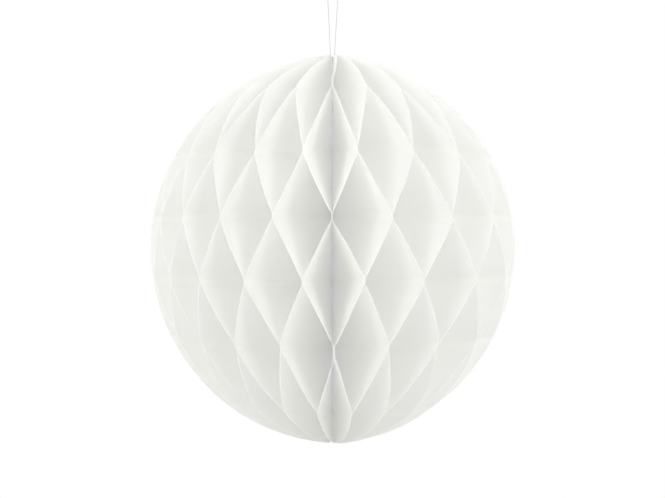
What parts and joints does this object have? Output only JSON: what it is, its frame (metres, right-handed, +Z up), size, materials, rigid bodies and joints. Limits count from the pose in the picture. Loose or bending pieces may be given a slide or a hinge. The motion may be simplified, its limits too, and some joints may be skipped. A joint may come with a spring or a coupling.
{
  "type": "honeycomb paper ball",
  "caption": "Hanging honeycomb ball of thin white paper leaves, glued in rows and opened full circle round a bound spine, with a thread loop at the top.",
  "frame": {"origin": "the crown of the thread loop, where a hook or pin holds the ball", "axes": "+Z up along the spine, from the ball to the loop's crown; the pictured front faces -Y, with +X to its right"},
  "size_m": [0.1868, 0.1867, 0.244],
  "materials": {
    "leaf_paper": "matt thin paper",
    "binding": "glued paper edges",
    "thread": "twisted thread"
  },
  "bodies": {
    "root": {"leaf_01": "leaf_paper", "leaf_02": "leaf_paper", "leaf_03": "leaf_paper", "leaf_04": "leaf_paper", "leaf_05": "leaf_paper", "leaf_06": "leaf_paper", "leaf_07": "leaf_paper", "leaf_08": "leaf_paper", "leaf_09": "leaf_paper", "leaf_10": "leaf_paper", "leaf_11": "leaf_paper", "leaf_12": "leaf_paper", "leaf_13": "leaf_paper", "leaf_14": "leaf_paper", "leaf_15": "leaf_paper", "leaf_16": "leaf_paper", "leaf_17": "leaf_paper", "leaf_18": "leaf_paper", "leaf_19": "leaf_paper", "leaf_20": "leaf_paper", "leaf_21": "leaf_paper", "leaf_22": "leaf_paper", "leaf_23": "leaf_paper", "leaf_24": "leaf_paper", "leaf_25": "leaf_paper", "leaf_26": "leaf_paper", "leaf_27": "leaf_paper", "leaf_28": "leaf_paper", "leaf_29": "leaf_paper", "leaf_30": "leaf_paper", "leaf_31": "leaf_paper", "leaf_32": "leaf_paper", "leaf_33": "leaf_paper", "leaf_34": "leaf_paper", "leaf_35": "leaf_paper", "leaf_36": "leaf_paper", "leaf_37": "leaf_paper", "leaf_38": "leaf_paper", "leaf_39": "leaf_paper", "leaf_40": "leaf_paper", "spine_binding": "binding", "hanging_thread": "thread"}
  },
  "joints": []
}
